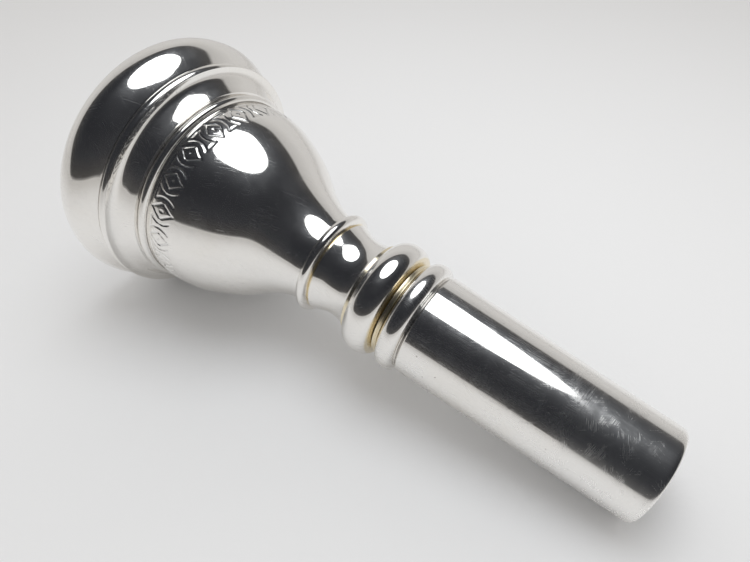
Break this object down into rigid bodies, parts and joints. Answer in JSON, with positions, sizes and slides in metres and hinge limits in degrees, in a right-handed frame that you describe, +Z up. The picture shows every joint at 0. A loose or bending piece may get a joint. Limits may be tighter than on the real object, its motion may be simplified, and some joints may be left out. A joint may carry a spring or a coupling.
{
  "type": "trombone mouthpiece",
  "caption": "Silver-plated brass mouthpiece with a rounded rim, deep bowl, turned beads and a tapered shank; rim and shank screw off against thin seat rings.",
  "frame": {"origin": "on the table, under the middle of the mouthpiece as it lies on its rim and on the end of its shank", "axes": "+X runs along the table from the rim towards the open end of the shank, +Y across it, +Z up; the mouthpiece's own axis leans 9.5 degrees, rim end higher"},
  "size_m": [0.0836, 0.038, 0.0376],
  "materials": {
    "silver_plate_rim": "mirror-polished silver plate on brass",
    "silver_plate_ring": "polished silver plate on brass",
    "silver_plate_cup": "mirror-polished silver plate on brass, with an engraved band",
    "bare_brass": "bare turned brass, satin",
    "silver_plate_shank": "polished silver plate on brass, scuffed where it enters the receiver"
  },
  "bodies": {
    "cup": {"cup": "silver_plate_cup"},
    "rim_ring": {"rim_ring": "silver_plate_ring"},
    "rim": {"rim": "silver_plate_rim"},
    "joint_ring": {"joint_ring": "bare_brass"},
    "shank": {"shank": "silver_plate_shank"}
  },
  "joints": [
    {"name": "rim_ring_slide", "type": "slide", "parent": "cup", "child": "rim_ring", "axis": [-0.9862, 0, 0.1656], "range_m": [0, 0.00406]},
    {"name": "rim_unscrew", "type": "hinge", "parent": "rim_ring", "child": "rim", "pos_m": [0.0408, 0, 0.00613], "axis": [-0.9862, 0, 0.1656], "range_deg": [0, 1170]},
    {"name": "joint_ring_slide", "type": "slide", "parent": "cup", "child": "joint_ring", "axis": [0.9862, 0, -0.1656], "range_m": [0, 0.00325]},
    {"name": "shank_unscrew", "type": "hinge", "parent": "joint_ring", "child": "shank", "pos_m": [0.0408, 0, 0.00613], "axis": [0.9862, 0, -0.1656], "range_deg": [0, 1170]}
  ],
  "couplings": [
    {"joint": "rim_ring_slide", "follows": "rim_unscrew", "m_per_rad": 0.00019894},
    {"joint": "joint_ring_slide", "follows": "shank_unscrew", "m_per_rad": 0.00015915}
  ]
}
